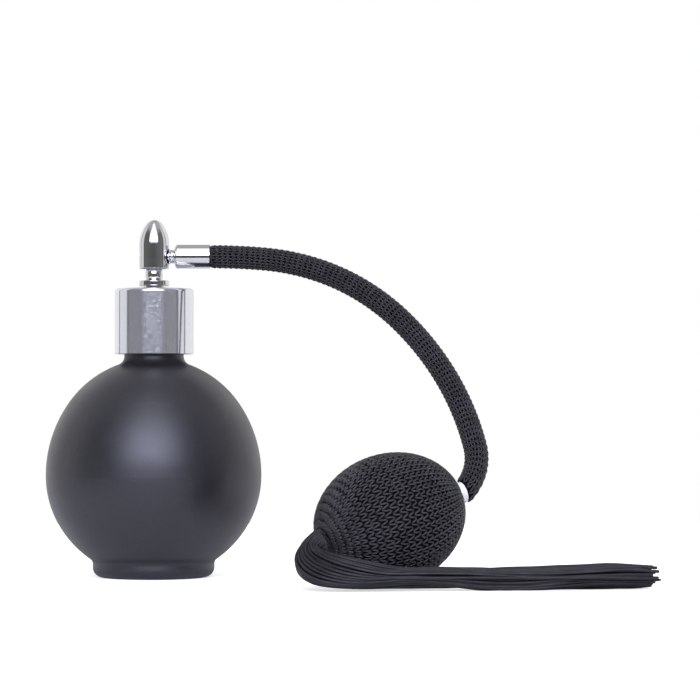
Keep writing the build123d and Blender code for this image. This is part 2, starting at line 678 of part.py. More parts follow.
with BuildPart() as tassel_neck:
    neck_start = hose_end + bulb_way * (INTAKE_END + TASSEL_NECK_RADIUS / 2)
    neck_end = Vector(*TASSEL_START, TASSEL_HALF_HEIGHT) - tassel_way * TASSEL_GAP
    with BuildLine() as neck_path:
        neck_way = bulb_way - Vector(0, 0, TASSEL_NECK_DIP)
        Spline(neck_start, neck_end, tangents=[neck_way, tassel_way], tangent_scalars=(1, 1))
    with BuildSketch(Plane(origin=neck_path.wire() @ 0, z_dir=neck_path.wire() % 0)):
        Circle(TASSEL_NECK_RADIUS)
    sweep(path=neck_path.wire())

with BuildPart() as tassel_skirt:
    skirt_start = (*TASSEL_START, TASSEL_HALF_HEIGHT)
    with BuildSketch(Plane(origin=skirt_start, x_dir=(0, 0, 1), z_dir=tassel_way)):
        Ellipse(TASSEL_HALF_HEIGHT, TASSEL_HALF_WIDTH)
    extrude(amount=TASSEL_LENGTH)

# ================= labels and files =================

pieces = {
    "glass_bottle": glass_bottle,
    "neck_gasket": neck_gasket,
    "stem_base": stem_base,
    "dip_tube": dip_tube,
    "stem_disc": stem_disc,
    "stem_sleeve": stem_sleeve,
    "collar_shell": collar_shell,
    "collar_insert": collar_insert,
    "nozzle_head": nozzle_head,
    "head_core": head_core,
    "orifice_insert": orifice_insert,
    "inlet_barb": inlet_barb,
    "hose_ferrule": hose_ferrule,
    **hose_pieces,
    "bulb_connector": bulb_connector,
    "outlet_valve_seat": outlet_valve_seat,
    "outlet_valve_ball": outlet_valve_ball,
    "squeeze_bulb": squeeze_bulb,
    "bulb_net": bulb_net,
    "intake_valve_body": intake_valve_body,
    "intake_valve_retainer": intake_valve_retainer,
    "intake_valve_ball": intake_valve_ball,
    "tassel_head": tassel_head,
    "tassel_neck": tassel_neck,
    "tassel_skirt": tassel_skirt,
}

os.makedirs("parts", exist_ok=True)
for name, piece in pieces.items():
    piece.part.label = name
    export_step(piece.part, f"parts/{name}.step")
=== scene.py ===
import json
import math

import bpy
import numpy as np
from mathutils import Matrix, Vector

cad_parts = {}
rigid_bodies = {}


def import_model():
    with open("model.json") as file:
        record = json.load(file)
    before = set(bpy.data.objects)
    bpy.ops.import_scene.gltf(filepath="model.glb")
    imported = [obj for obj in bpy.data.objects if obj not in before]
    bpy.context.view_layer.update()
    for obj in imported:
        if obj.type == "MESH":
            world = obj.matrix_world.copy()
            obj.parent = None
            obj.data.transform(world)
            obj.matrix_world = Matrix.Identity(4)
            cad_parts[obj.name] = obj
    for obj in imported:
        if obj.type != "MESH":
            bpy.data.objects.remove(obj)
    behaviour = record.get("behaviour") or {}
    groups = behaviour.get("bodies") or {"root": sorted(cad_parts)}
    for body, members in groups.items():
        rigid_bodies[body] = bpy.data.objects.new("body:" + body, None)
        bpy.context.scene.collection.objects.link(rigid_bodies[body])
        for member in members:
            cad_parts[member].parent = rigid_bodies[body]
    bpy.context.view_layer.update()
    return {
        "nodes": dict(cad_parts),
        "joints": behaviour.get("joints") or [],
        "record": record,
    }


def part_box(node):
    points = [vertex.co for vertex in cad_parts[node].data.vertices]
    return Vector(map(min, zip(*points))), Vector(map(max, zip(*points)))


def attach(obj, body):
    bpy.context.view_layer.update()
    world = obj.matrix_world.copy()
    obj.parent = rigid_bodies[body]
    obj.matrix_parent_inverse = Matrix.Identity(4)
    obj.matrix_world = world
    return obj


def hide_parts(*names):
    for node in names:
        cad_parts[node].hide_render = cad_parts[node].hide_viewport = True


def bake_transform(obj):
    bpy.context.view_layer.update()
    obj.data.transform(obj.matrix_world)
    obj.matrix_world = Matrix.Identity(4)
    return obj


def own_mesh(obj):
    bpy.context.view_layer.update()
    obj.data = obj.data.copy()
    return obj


# The looks of a bulb atomiser perfume bottle: knitted hose and bulb, silky tassel, satin black glass
# and polished metal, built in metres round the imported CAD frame.

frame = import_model()

MM = 0.001
UP = np.array((0.0, 0.0, 1.0))

PLY_SHARE = 0.42  # how far a ply's middle lies from its yarn's, as a share of the yarn's radius
GOLDEN_TURN = math.pi * (3 - math.sqrt(5))

# ---- hose: a rubber tube in a knitted sleeve ----
HOSE_HIDDEN = 3.0 * MM  # how far it reaches into the ferrule
HOSE_LINER_INSET = 0.62 * MM  # the rubber tube's skin under the sleeve's outside
HOSE_YARN_RADIUS = 0.34 * MM
HOSE_PUFF = 0.35 * MM  # how far the sleeve swells past its CAD solid, clear of the ferrule
HOSE_WALES = 11  # columns of loops round the hose
HOSE_TWISTS = 3  # turns of the yarn's two plies in each loop
HOSE_COURSE = 1.74 * MM  # from one round of loops to the next
HOSE_LOOP_HEIGHT = 2.2 * MM
HOSE_LOOP_DEPTH = 0.12 * MM
HOSE_SLANT_LENGTH = 8.0 * MM  # over this end stretch the rounds tilt to meet the connector
CONNECTOR_FLANGE = 2.0 * MM
HINGE_REACH = 5.5 * MM  # the ends of a stretch this far to each side of a hinge are worked out, then not used

# ---- squeeze bulb: a rubber bulb in a knitted net ----
NET_YARN_RADIUS = 0.33 * MM
NET_WALES = 52
NET_COURSE_FIRST = 1.9 * MM  # at the connector
NET_COURSE_LAST = 2.6 * MM  # the knit is looser towards the tail
NET_LOOP_SHARE = 0.95  # a loop's height as a share of the local course
NET_LOOP_DEPTH = 0.18 * MM
NET_MOUTH_RADIUS = 3.7 * MM
BULB_SKIN_INSET = 0.8 * MM
BULB_SKIN_MARGIN = 0.12  # the skin stops at this angle from each pole

# ---- tassel: cords that leave the bulb's tail, fold back and lie on the table ----
CORD_COUNT = 128
CORD_RADIUS = (0.36 * MM, 0.5 * MM)
BUNDLES = 9  # the cords lie in soft bundles that wander together
BUNDLE_PULL = 0.15  # how far a cord is drawn to the middle of its bundle
BUNDLE_SWAY = 0.35 * MM
CORD_SWAY = 0.12 * MM
CORD_SIDES = 8
TASSEL_YAW = math.radians(9.0)
TASSEL_START_RADIUS = 3.6 * MM
TASSEL_HALF_HEIGHT = 3.6 * MM
TASSEL_HALF_WIDTH = 5.4 * MM
TASSEL_LENGTH = 93.5 * MM
FOLD_POINTS = 26  # points on a cord up to its skirt
FOLD_MIDDLE = 12  # the one of them in the middle of the fold
FOLD_TO_SKIRT = 20 * MM  # the skirt piece starts this far along the skirt
BINDING_TURNS = 3
BINDING_RADIUS = 4.1 * MM
BINDING_CORD_RADIUS = 0.4 * MM

# ---- camera and floor ----
CAMERA_PLACE = (62 * MM, -880 * MM, 53 * MM)
CAMERA_PITCH = math.radians(1.215)
CAMERA_LENS = 143.07
FLOOR_HALF = 0.4

joints = {joint["name"]: joint for joint in frame["joints"]}


def unit(vectors):
    """The vector, or each row of vectors, at length 1."""
    vectors = np.asarray(vectors, float)
    return vectors / np.linalg.norm(vectors, axis=-1, keepdims=True)


def joint_place(name):
    return np.array(joints[name]["pos_m"], float)


def box_corner(node, high):
    return np.array(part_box(node)[1 if high else 0])


def ease(t):
    """0 up to t = 0, 1 from t = 1, and smooth between."""
    t = np.clip(t, 0, 1)
    return t * t * (3 - 2 * t)


# ================= places worked out from the frame =================

bulb_way = -unit(joints["bulb_squeeze"]["axis"])
bulb_centre = (box_corner("bulb_net", False) + box_corner("bulb_net", True)) / 2


def bulb_half_sizes():
    """The bulb's half length and radius, from how its leaning ellipsoid fills its box."""
    half = (box_corner("bulb_net", True) - box_corner("bulb_net", False)) / 2
    lean = bulb_way**2
    difference = (half[0] ** 2 - half[2] ** 2) / (lean[0] - lean[2])
    radius = math.sqrt(half[2] ** 2 - difference * lean[2])
    return math.sqrt(radius**2 + difference), radius


bulb_half_length, bulb_radius = bulb_half_sizes()
bulb_side = unit(np.cross(bulb_way, UP))
bulb_top = np.cross(bulb_side, bulb_way)
bulb_front_pole = bulb_centre - bulb_way * bulb_half_length
bulb_tail_pole = bulb_centre + bulb_way * bulb_half_length
hose_end = bulb_front_pole - bulb_way * CONNECTOR_FLANGE

hose_level = joint_place("head_swivel")[2]
hose_radius = box_corner("hose_braid_1", True)[2] - hose_level
hose_normal = unit(joints["hose_bend_1"]["axis"])
ferrule_end = np.array((box_corner("hose_ferrule", True)[0], 0.0, hose_level))
hose_joint_names = sorted(name for name in joints if name.startswith("hose_bend_"))
hose_bodies = [joints[name]["parent"] for name in hose_joint_names] + ["bulb"]

# ================= mesh helpers =================


class Surface:
    """Gathers tubes and shells, each a row of rings of points, into one mesh."""

    def __init__(self):
        self.points = []
        self.quads = []
        self.uvs = []
        self.total = 0

    def add(self, rings, closed=False):
        """rings is (along, around, 3). U runs along in millimetres, and V once round."""
        count, around = rings.shape[:2]
        along = np.arange(count if closed else count - 1)
        i, j = np.meshgrid(along, np.arange(around), indexing="ij")
        corners = ((i, j), (i + 1, j), (i + 1, j + 1), (i, j + 1))
        quads = [(a % count) * around + b % around + self.total for a, b in corners]
        middle = rings.mean(axis=1)
        step = np.linalg.norm(np.diff(middle, axis=0), axis=1).mean() / MM
        uvs = [np.stack((a * step, b / around), axis=-1) for a, b in corners]
        self.points.append(rings.reshape(-1, 3))
        self.quads.append(np.stack(quads, axis=-1).reshape(-1, 4))
        self.uvs.append(np.stack(uvs, axis=2).reshape(-1, 2))
        self.total += count * around

    def build(self, name, material, slot):
        mesh = bpy.data.meshes.new(name)
        mesh.from_pydata(np.concatenate(self.points), [], np.concatenate(self.quads).tolist())
        uv_layer = mesh.uv_layers.new(name="UVMap")
        uv_layer.data.foreach_set("uv", np.concatenate(self.uvs).ravel())
        mesh.polygons.foreach_set("use_smooth", np.ones(len(mesh.polygons), bool))
        mesh.materials.append(material)
        piece = bpy.data.objects.new(name, mesh)
        bpy.context.scene.collection.objects.link(piece)
        return piece


def tube_rings(path, outward, radius, sides, closed=False):
    """Rings of a round tube along path. outward, one direction a point, keeps the rings from twisting."""
    if closed:
        ahead = np.roll(path, -1, axis=0) - np.roll(path, 1, axis=0)
    else:
        ahead = np.gradient(path, axis=0)
    ahead = unit(ahead)
    side = unit(np.cross(ahead, outward))
    above = np.cross(side, ahead)
    radius = np.broadcast_to(radius, len(path))[:, None, None]
    turn = np.linspace(0, 2 * np.pi, sides, endpoint=False)[None, :, None]
    return path[:, None] + radius * (np.cos(turn) * side[:, None] + np.sin(turn) * above[:, None])


def plied_rings(path, outward, radius, turns):
    """Rings of each of the two plies that twist round each other along a closed path."""
    side = unit(np.cross(np.roll(path, -1, axis=0) - np.roll(path, 1, axis=0), outward))
    twist = np.linspace(0, 2 * np.pi * turns, len(path), endpoint=False)[:, None]
    away = radius * PLY_SHARE * (np.cos(twist) * side + np.sin(twist) * unit(outward))
    ply_radius = radius * (1 - PLY_SHARE)
    return [tube_rings(path + way * away, outward, ply_radius, 5, closed=True) for way in (-1, 1)]


def carried_along(path, first):
    """The direction first, carried along the path without twist."""
    ahead = unit(np.gradient(path, axis=0))
    directions = [first]
    for heading in ahead:
        kept = directions[-1] - (directions[-1] @ heading) * heading
        directions.append(unit(kept))
    return np.array(directions[1:])


# ================= material helpers =================


def new_material(name, color, roughness, **settings):
    """A material whose Principled shader starts from these values."""
    material = bpy.data.materials.new(name)
    material.use_nodes = True
    shader = material.node_tree.nodes["Principled BSDF"]
    shader.inputs["Base Color"].default_value = (*color, 1)
    shader.inputs["Roughness"].default_value = roughness
    for key, value in settings.items():
        shader.inputs[key.replace("_", " ").title().replace("Ior", "IOR")].default_value = value
    return material


def add_node(tree, kind, inputs=(), **settings):
    """A node of this kind, with its inputs, numbered or named, set to values or linked to outputs."""
    node = tree.nodes.new(kind)
    for key, value in settings.items():
        setattr(node, key, value)
    for key, value in dict(inputs).items():
        if isinstance(value, bpy.types.NodeSocket):
            tree.links.new(value, node.inputs[key])
        else:
            node.inputs[key].default_value = value
    return node


def math_node(tree, operation, *values):
    return add_node(tree, "ShaderNodeMath", enumerate(values), operation=operation).outputs[0]


def noise(tree, size, detail=3.0, stretch=(1, 1, 1), source="Object"):
    """Noise from 0 to 1 whose features are about size wide, longer where stretch is more than 1."""
    place = add_node(tree, "ShaderNodeTexCoord").outputs[source]
    scale = [1 / length for length in stretch]
    mapped = add_node(tree, "ShaderNodeMapping", {"Vector": place, "Scale": scale}).outputs[0]
    inputs = {"Vector": mapped, "Scale": 1 / size, "Detail": detail}
    return add_node(tree, "ShaderNodeTexNoise", inputs).outputs[0]


def uv_parts(tree):
    """The UV map's two values: millimetres along a yarn, and turns round it."""
    uv = add_node(tree, "ShaderNodeTexCoord").outputs["UV"]
    parts = add_node(tree, "ShaderNodeSeparateXYZ", {0: uv})
    return parts.outputs[0], parts.outputs[1]


def between(tree, source, low, high, source_low=0.3, source_high=0.7):
    """source, taken from its own range to the range low to high."""
    inputs = {0: source, 1: source_low, 2: source_high, 3: low, 4: high}
    return add_node(tree, "ShaderNodeMapRange", inputs).outputs[0]


def mixed_color(tree, factor, first, second):
    ramp = add_node(tree, "ShaderNodeValToRGB", {0: factor})
    ramp.color_ramp.elements[0].color = (*first, 1)
    ramp.color_ramp.elements[1].color = (*second, 1)
    return ramp.outputs[0]


def feed(material, socket, output):
    shader = material.node_tree.nodes["Principled BSDF"]
    material.node_tree.links.new(output, shader.inputs[socket])


def add_bump(material, height, distance, strength=1.0):
    """A bump whose full height is distance."""
    inputs = {"Height": height, "Distance": distance, "Strength": strength}
    bump = add_node(material.node_tree, "ShaderNodeBump", inputs)
    feed(material, "Normal", bump.outputs[0])


# ================= materials =================


def yarn_material():
    """Black cotton yarn: plies twist round it, and its colour varies a little from stitch to stitch."""
    material = new_material("knitted_yarn", (0.015, 0.015, 0.018), 0.4, specular_ior_level=0.45)
    tree = material.node_tree
    along, around = uv_parts(tree)
    turns = math_node(tree, "ADD", math_node(tree, "MULTIPLY", along, 0.9), around)
    wave = math_node(tree, "SINE", math_node(tree, "MULTIPLY", turns, 4 * math.pi))
    fibres = noise(tree, 0.12 * MM, detail=2)
    height = math_node(tree, "ADD", math_node(tree, "MULTIPLY", wave, 0.5), fibres)
    add_bump(material, height, 0.06 * MM)
    patches = between(tree, noise(tree, 4 * MM), 0, 1)
    feed(material, "Base Color", mixed_color(tree, patches, (0.016, 0.016, 0.018), (0.041, 0.037, 0.047)))
    feed(material, "Roughness", between(tree, fibres, 0.28, 0.45))
    return material


def silk_material():
    """Silky black cord: fine fibres run along it, and lighter streaks painted into its colour stand in for
    the sheen they catch.
    """
    material = new_material("silky_cord", (0.014, 0.013, 0.017), 0.5, specular_ior_level=0.35)
    tree = material.node_tree
    fibres = noise(tree, 0.08, detail=3, stretch=(40, 1, 1), source="UV")
    add_bump(material, fibres, 0.05 * MM)
    # painted sheen: lighter streaks along the cords, laid into the base colour
    painted_sheen_streaks = between(tree, noise(tree, 3 * MM, stretch=(5, 1, 1)), 0, 1)
    feed(material, "Base Color", mixed_color(tree, painted_sheen_streaks, (0.01, 0.0095, 0.012), (0.028, 0.026, 0.033)))
    feed(material, "Roughness", between(tree, fibres, 0.38, 0.6))
    return material


def rubber_material():
    """Dull black moulded rubber with a fine grain."""
    material = new_material("black_rubber", (0.004, 0.004, 0.005), 0.75, specular_ior_level=0.1)
    tree = material.node_tree
    grain = noise(tree, 0.3 * MM)
    add_bump(material, grain, 0.02 * MM)
    feed(material, "Roughness", between(tree, grain, 0.68, 0.85))
    return material


def lacquered_glass_material():
    """Satin black lacquer on glass: a faint orange peel, with specks of dust in the coat."""
    material = new_material("satin_black_lacquer", (0.015, 0.015, 0.018), 0.4, ior=1.66)
    tree = material.node_tree
    peel = noise(tree, 1.2 * MM, detail=2)
    specks = noise(tree, 0.35 * MM, detail=1)
    height = math_node(tree, "ADD", peel, math_node(tree, "MULTIPLY", specks, 0.5))
    add_bump(material, height, 0.006 * MM)
    dust = between(tree, specks, 0, 1, 0.62, 0.78)
    feed(material, "Base Color", mixed_color(tree, dust, (0.013, 0.0125, 0.015), (0.036, 0.036, 0.041)))
    feed(material, "Roughness", between(tree, noise(tree, 9 * MM), 0.38, 0.43))
    shader = tree.nodes["Principled BSDF"]
    shader.inputs["Specular Tint"].default_value = (0.9, 0.91, 1.0, 1)
    return material


def chrome_material(name, roughness):
    """Bright plated metal with faint polishing marks and a few cloudy patches."""
    material = new_material(name, (0.7, 0.7, 0.72), roughness, metallic=1.0)
    tree = material.node_tree
    marks = noise(tree, 0.5 * MM, detail=4)
    add_bump(material, marks, 0.002 * MM)
    clouds = noise(tree, 3 * MM)
    feed(material, "Roughness", between(tree, clouds, roughness * 0.7, roughness * 1.5))
    feed(material, "Base Color", mixed_color(tree, clouds, (0.67, 0.67, 0.7), (0.74, 0.74, 0.75)))
    return material


def turned_metal_material():
    """The collar's metal: fine turning marks round it spread each reflection up and down. The bluish
    mottling of its base colour is a painted reflection.
    """
    material = new_material("turned_metal", (0.8, 0.8, 0.83), 0.1, metallic=0.85, anisotropic=1.0)
    tree = material.node_tree
    tangent = add_node(tree, "ShaderNodeTangent", direction_type="RADIAL", axis="Z")
    feed(material, "Tangent", tangent.outputs[0])
    tree.nodes["Principled BSDF"].inputs["Anisotropic Rotation"].default_value = 0.25
    clouds = noise(tree, 0.7 * MM, detail=4)
    # painted reflection: bluish mottling laid into the base colour; the same noise also varies the
    # roughness
    feed(material, "Base Color", mixed_color(tree, clouds, (0.68, 0.69, 0.76), (0.82, 0.82, 0.85)))
    feed(material, "Roughness", between(tree, clouds, 0.08, 0.13))
    return material


def plastic_material(name, color, roughness, **settings):
    """Moulded plastic with a slight unevenness in its gloss and colour."""
    material = new_material(name, color, roughness, **settings)
    tree = material.node_tree
    clouds = noise(tree, 1.5 * MM)
    darker = [part * 0.93 for part in color]
    feed(material, "Base Color", mixed_color(tree, clouds, darker, color))
    feed(material, "Roughness", between(tree, clouds, roughness * 0.8, roughness * 1.25))
    add_bump(material, noise(tree, 0.4 * MM), 0.003 * MM)
    return material


def floor_material():
    """A pale matt table top, lifted a little towards white where the camera sees it."""
    material = new_material("pale_floor", (0.93, 0.93, 0.93), 0.9)
    tree = material.node_tree
    camera_ray = add_node(tree, "ShaderNodeLightPath").outputs["Is Camera Ray"]
    shader = tree.nodes["Principled BSDF"]
    shader.inputs["Emission Color"].default_value = (1, 1, 1, 1)
    feed(material, "Emission Strength", math_node(tree, "MULTIPLY", camera_ray, 0.6))
    return material


yarn = yarn_material()
silk = silk_material()
rubber = rubber_material()
chrome = chrome_material("polished_chrome", 0.06)
cad_materials = {
    "black_glass": lacquered_glass_material(),
    "gasket": plastic_material("gasket_rubber", (0.55, 0.55, 0.53), 0.6),
    "white_plastic": plastic_material("white_plastic", (0.85, 0.85, 0.83), 0.4),
    "clear_tube": plastic_material("clear_tube", (0.85, 0.88, 0.9), 0.15, transmission_weight=0.7),
    "chrome": chrome,
    "brass": plastic_material("turned_brass", (0.62, 0.56, 0.45), 0.25, metallic=1.0),
    "black_rubber": rubber,
    "black_knit": yarn,
    "milky_plastic": plastic_material("milky_plastic", (0.97, 0.97, 0.97), 0.3),
    "steel_ball": chrome_material("steel_ball", 0.12),
    "black_silk": silk,
}


def finish_cad_nodes():
    """Gives each CAD node the material of its slot in the record; the collar has a finish of its own."""
    for subpart in frame["record"]["subparts"]:
        node = frame["nodes"][subpart["node"]]
        node.data.materials.clear()
        node.data.materials.append(cad_materials[subpart["material_slot"]])
    collar = frame["nodes"]["collar_shell"]
    collar.data.materials[0] = turned_metal_material()


# ================= hose =================


def arc(start, heading, end, count):
    """Points on the arc that leaves start along heading and reaches end, and the heading there."""
    chord = end - start
    way = unit(chord)
    half_turn = math.acos(np.clip(heading @ way, -1, 1))
    inward = unit(way - (way @ heading) * heading)
    radius = np.linalg.norm(chord) / (2 * math.sin(half_turn))
    turn = np.linspace(0, 2 * half_turn, count)[:, None]
    points = start + radius * (np.sin(turn) * heading + (1 - np.cos(turn)) * inward)
    end_heading = math.cos(2 * half_turn) * heading + math.sin(2 * half_turn) * inward
    return points, end_heading


class HoseLine:
    """The hose's middle line, looked up by the length from its hidden end in the ferrule."""

    def __init__(self):
        heading = np.array((1.0, 0.0, 0.0))
        points = [ferrule_end - heading * HOSE_HIDDEN]
        self.stops = []
        last = ferrule_end
        for stop in [joint_place(name) for name in hose_joint_names] + [hose_end]:
            stretch, heading = arc(last, heading, stop, 60)
            points.extend(stretch)
            self.stops.append(len(points) - 1)
            last = stop
        self.end_heading = heading
        points.append(hose_end + heading * HOSE_SLANT_LENGTH)
        self.points = np.array(points)
        steps = np.linalg.norm(np.diff(self.points, axis=0), axis=1)
        self.lengths = np.concatenate(([0], np.cumsum(steps)))
        self.stops = self.lengths[self.stops]
        self.end = self.stops[-1]

    def at(self, length):
        return np.stack([np.interp(length, self.lengths, axis) for axis in self.points.T], axis=-1)

    def heading(self, length):
        step = 0.5 * MM
        return unit(self.at(length + step) - self.at(length - step))

    def surface(self, length, angle, radius):
        """Points round the hose, and their outward directions. The last stretch slants to the flange."""
        across_end = np.cross(self.end_heading, hose_normal)
        tilt = np.cos(angle) * (hose_normal @ bulb_way) + np.sin(angle) * (across_end @ bulb_way)
        slant = ease((length - self.end) / HOSE_SLANT_LENGTH + 1)
        length = length - slant * radius * tilt / (self.end_heading @ bulb_way)
        across = np.cross(self.heading(length), hose_normal)
        outward = np.cos(angle)[:, None] * hose_normal + np.sin(angle)[:, None] * across
        return self.at(length) + np.asarray(radius)[..., None] * outward, outward


def hose_course(line, length, random):
    """The rings of the two plies of one round of loops of the sleeve."""
    samples = 18
    phase = np.linspace(0, 2 * np.pi * HOSE_WALES, HOSE_WALES * samples, endpoint=False)
    angle = (phase + 0.18 * np.sin(2 * phase)) / HOSE_WALES
    height = HOSE_LOOP_HEIGHT * random.uniform(0.95, 1.05)
    along = length + height / 2 * np.cos(phase)
    puff = HOSE_PUFF * ease((length - HOSE_HIDDEN) / (2 * MM))
    middle = hose_radius + puff - HOSE_YARN_RADIUS - HOSE_LOOP_DEPTH / 2
    radius = middle - HOSE_LOOP_DEPTH * np.cos(2 * phase)
    path, outward = line.surface(along, angle, radius)
    return plied_rings(path, outward, HOSE_YARN_RADIUS, HOSE_WALES * HOSE_TWISTS)


def hose_liner(line, first, last):
    """The rings of the rubber tube between two lengths."""
    angle = np.linspace(0, 2 * np.pi, 24, endpoint=False)
    rings = []
    for length in np.linspace(first, last, 20):
        spread = np.full(len(angle), length)
        radius = np.full(len(angle), hose_radius - HOSE_LINER_INSET)
        rings.append(line.surface(spread, angle, radius)[0])
    return np.array(rings)


def attach_hose_piece(piece, line, index):
    """Piece 0 rides on the head and the last on the bulb; each other one keeps its place, its transform
    baked into its mesh, on no body.
    """
    if index == 0:
        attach(piece, hose_bodies[0])
    elif index == len(hose_bodies):
        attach(piece, hose_bodies[-1])
    else:
        hinge = line.stops[index - 1]
        start, end = line.at(hinge - HINGE_REACH), line.at(hinge + HINGE_REACH)
        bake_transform(piece)
        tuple(start)
        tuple(end)


def make_hose():
    """The knitted sleeve and its rubber tube, parted in the middle of each stiff length."""
    random = np.random.default_rng(11)
    line = HoseLine()
    starts = np.concatenate(([HOSE_HIDDEN], line.stops[:-1]))
    middles = (starts + line.stops) / 2
    edges = np.concatenate(([0], middles, [line.end]))
    courses = np.arange(HOSE_LOOP_HEIGHT / 2, line.end - HOSE_LOOP_HEIGHT / 2, HOSE_COURSE)
    for index, (first, last) in enumerate(zip(edges[:-1], edges[1:])):
        sleeve = Surface()
        for length in courses[(courses >= first) & (courses < last)]:
            for rings in hose_course(line, length, random):
                sleeve.add(rings, closed=True)
        liner = Surface()
        liner.add(hose_liner(line, first, last))
        numbers = sorted({max(index, 1), min(index + 1, len(hose_bodies))})
        knit = sleeve.build(f"hose_knit_{index}", yarn, "black_knit")
        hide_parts(*[f"hose_braid_{number}" for number in numbers])
        tube = liner.build(f"hose_rubber_{index}", rubber, "black_rubber")
        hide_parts(*[f"hose_tube_{number}" for number in numbers])
        attach_hose_piece(knit, line, index)
        attach_hose_piece(tube, line, index)


# ================= squeeze bulb =================


def bulb_points(polar, angle, lift):
    """Points on the bulb: polar runs from the connector's pole to the tail's, angle goes round."""
    round_way = np.cos(angle)[..., None] * bulb_side + np.sin(angle)[..., None] * bulb_top
    along = -np.cos(polar)[..., None] * (bulb_half_length + lift)[..., None] * bulb_way
    return bulb_centre + along + (np.sin(polar) * (bulb_radius + lift))[..., None] * round_way


def meridian_lengths():
    """The polar angle against the length along the bulb's side."""
    polar = np.linspace(0, np.pi, 2000)
    outline = bulb_points(polar, np.zeros(2000), np.full(2000, -NET_YARN_RADIUS))
    steps = np.linalg.norm(np.diff(outline, axis=0), axis=1)
    return polar, np.concatenate(([0], np.cumsum(steps)))


def net_courses(lengths):
    """Where each round of loops sits along the bulb's side, and its share of the side."""
    length = NET_MOUTH_RADIUS
    end = lengths[-1] - NET_MOUTH_RADIUS
    while length < end:
        share = length / lengths[-1]
        course = NET_COURSE_FIRST + (NET_COURSE_LAST - NET_COURSE_FIRST) * ease((share - 0.3) / 0.6)
        yield length, course
        length += course


def net_course(polar_table, lengths, length, course, random):
    """The rings of one round of the net's loops."""
    samples = 10
    phase = np.linspace(0, 2 * np.pi * NET_WALES, NET_WALES * samples, endpoint=False)
    loops = np.arange(NET_WALES + 1)
    wander, shift = [
        np.interp(phase / (2 * np.pi), loops, np.append(values, values[0]))
        for values in random.normal(0, 1, (2, NET_WALES))
    ]
    height = course * NET_LOOP_SHARE * (1 + 0.13 * wander)
    along = length + 0.12 * MM * shift + height / 2 * np.cos(phase)
    along = np.clip(along, NET_MOUTH_RADIUS * 0.9, lengths[-1] - NET_MOUTH_RADIUS * 0.9)
    polar = np.interp(along, lengths, polar_table)
    angle = (phase + 0.15 * np.sin(2 * phase)) / NET_WALES
    wale = 2 * np.pi * bulb_radius * np.sin(np.interp(length, lengths, polar_table)) / NET_WALES
    yarn_radius = min(NET_YARN_RADIUS, 0.3 * wale)
    lift = -NET_YARN_RADIUS - NET_LOOP_DEPTH * np.cos(2 * phase)
    path = bulb_points(polar, angle, lift)
    outward = path - bulb_points(polar, angle, lift - MM)
    return tube_rings(path, outward, yarn_radius, 6, closed=True)


def mouth_ring(polar, radius):
    """The rings of the hem that draws the net in at one of its ends."""
    angle = np.linspace(0, 2 * np.pi, 60, endpoint=False)
    flat = np.full(60, polar)
    path = bulb_points(flat, angle, np.zeros(60))
    outward = path - bulb_points(flat, angle, np.full(60, -MM))
    return tube_rings(path, outward, radius, 8, closed=True)


def squash_bulb(piece):
    """Puts the piece on the bulb's body with a mesh of its own; the squeeze joint's travel is read but
    nothing is squashed.
    """
    travel = max(joints["bulb_squeeze"]["range_m"])
    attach(piece, "bulb")
    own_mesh(piece)


def make_bulb():
    """The smooth rubber bulb and the net knitted round it."""
    random = np.random.default_rng(23)
    polar_table, lengths = meridian_lengths()
    net = Surface()
    for length, course in net_courses(lengths):
        net.add(net_course(polar_table, lengths, length, course, random), closed=True)
    mouth = np.interp(NET_MOUTH_RADIUS, lengths, polar_table)
    net.add(mouth_ring(mouth, NET_YARN_RADIUS), closed=True)
    net.add(mouth_ring(np.pi - mouth, NET_YARN_RADIUS), closed=True)
    knit = net.build("bulb_knit", yarn, "black_knit")
    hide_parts("bulb_net")

    around = 96
    angle = np.linspace(0, 2 * np.pi, around, endpoint=False)
    inset = np.full(around, -BULB_SKIN_INSET)
    polars = np.linspace(BULB_SKIN_MARGIN, np.pi - BULB_SKIN_MARGIN, 70)
    shell = Surface()
    shell.add(np.array([bulb_points(np.full(around, polar), angle, inset) for polar in polars]))
    skin = shell.build("bulb_rubber", rubber, "black_rubber")
    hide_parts("squeeze_bulb")
    squash_bulb(knit)
    squash_bulb(skin)


# ================= tassel =================

tassel_way = np.array((math.cos(TASSEL_YAW), math.sin(TASSEL_YAW), 0.0))
tassel_side = np.cross(UP, tassel_way)
tassel_root = bulb_tail_pole + bulb_way * 0.3 * MM
skirt_start = joint_place("tassel_fold") + tassel_way * 3.0 * MM
fold_across = skirt_start - tassel_root
fold_normal = unit(np.cross(bulb_way, tassel_way))  # square to the turn's plane, up and to the front
fold_normal = fold_normal if fold_normal[2] > 0 else -fold_normal


def clear_of_bulb(points, gap):
    """Points pushed straight out of the bulb, and up off the table, so that at least gap is left."""
    away = points - bulb_centre
    along = away @ bulb_way
    across = away - along[:, None] * bulb_way
    depth = np.sqrt(
        (along / (bulb_half_length + gap)) ** 2
        + (np.linalg.norm(across, axis=1) / (bulb_radius + gap)) ** 2
    )
    points = bulb_centre + away * np.maximum(1, 1 / depth)[:, None]
    points[:, 2] = np.maximum(points[:, 2], gap)
    return points


def smoothed(points, rounds):
    """The points with their kinks eased out; both ends stay."""
    for _ in range(rounds):
        inner = (points[:-2] + 2 * points[1:-1] + points[2:]) / 4
        points = np.concatenate((points[:1], inner, points[-1:]))
    return points


def cord_lane(index):
    """A cord's place in the bundle: sunflower spacing over a disc of radius 1."""
    distance = math.sqrt((index + 0.5) / CORD_COUNT)
    turn = index * GOLDEN_TURN
    return distance * math.cos(turn), distance * math.sin(turn)


